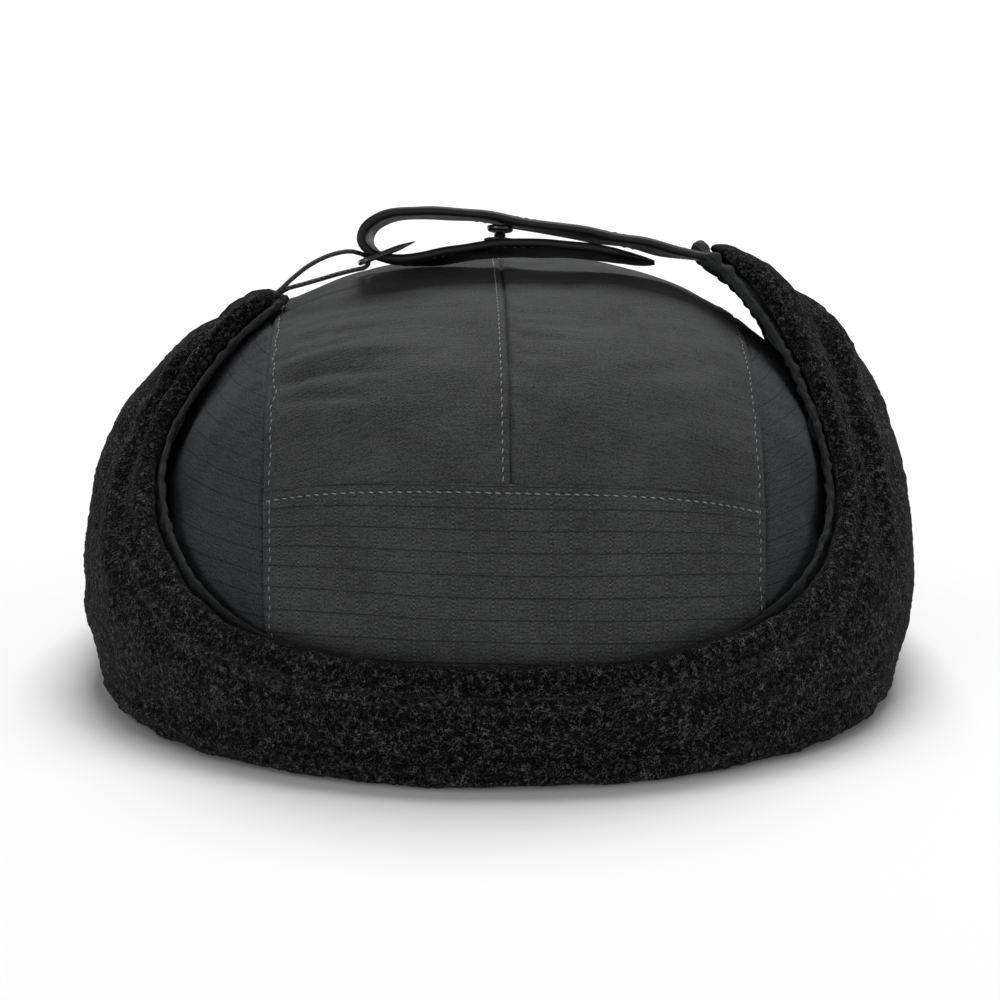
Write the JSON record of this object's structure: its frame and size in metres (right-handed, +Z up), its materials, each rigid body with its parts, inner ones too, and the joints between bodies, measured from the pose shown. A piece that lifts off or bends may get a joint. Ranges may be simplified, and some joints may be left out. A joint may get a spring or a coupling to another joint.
{
  "type": "earflap cap",
  "caption": "Winter cap with a panelled ripstop crown, a turned-up fleece earflap band, a strap over the crown and a short peak.",
  "frame": {"origin": "middle of the bounding box on the plane that the rim stands on", "axes": "+Z up, +Y towards the peak, +X towards the wearer's right"},
  "size_m": [0.2342, 0.2758, 0.1292],
  "materials": {
    "crown_cloth": "charcoal ripstop weave",
    "side_cloth": "bluish charcoal ripstop weave",
    "fleece": "black curled fleece",
    "shell_cloth": "dark grey plain weave",
    "strap_cloth": "black folded cloth tape",
    "hook_metal": "black enamel",
    "snap_metal": "black enamel",
    "cord_elastic": "black braided elastic"
  },
  "bodies": {
    "root": {"crown_back_lower": "crown_cloth", "crown_top_left": "crown_cloth", "crown_top_right": "crown_cloth", "crown_front": "crown_cloth", "crown_side_left": "side_cloth", "crown_side_right": "side_cloth", "peak": "crown_cloth", "rim_band": "fleece", "flap_fleece": "fleece", "flap_shell": "shell_cloth", "strap": "strap_cloth", "hook": "hook_metal", "snap_socket": "snap_metal", "snap_stud": "snap_metal", "cord_loop": "cord_elastic"}
  },
  "joints": []
}
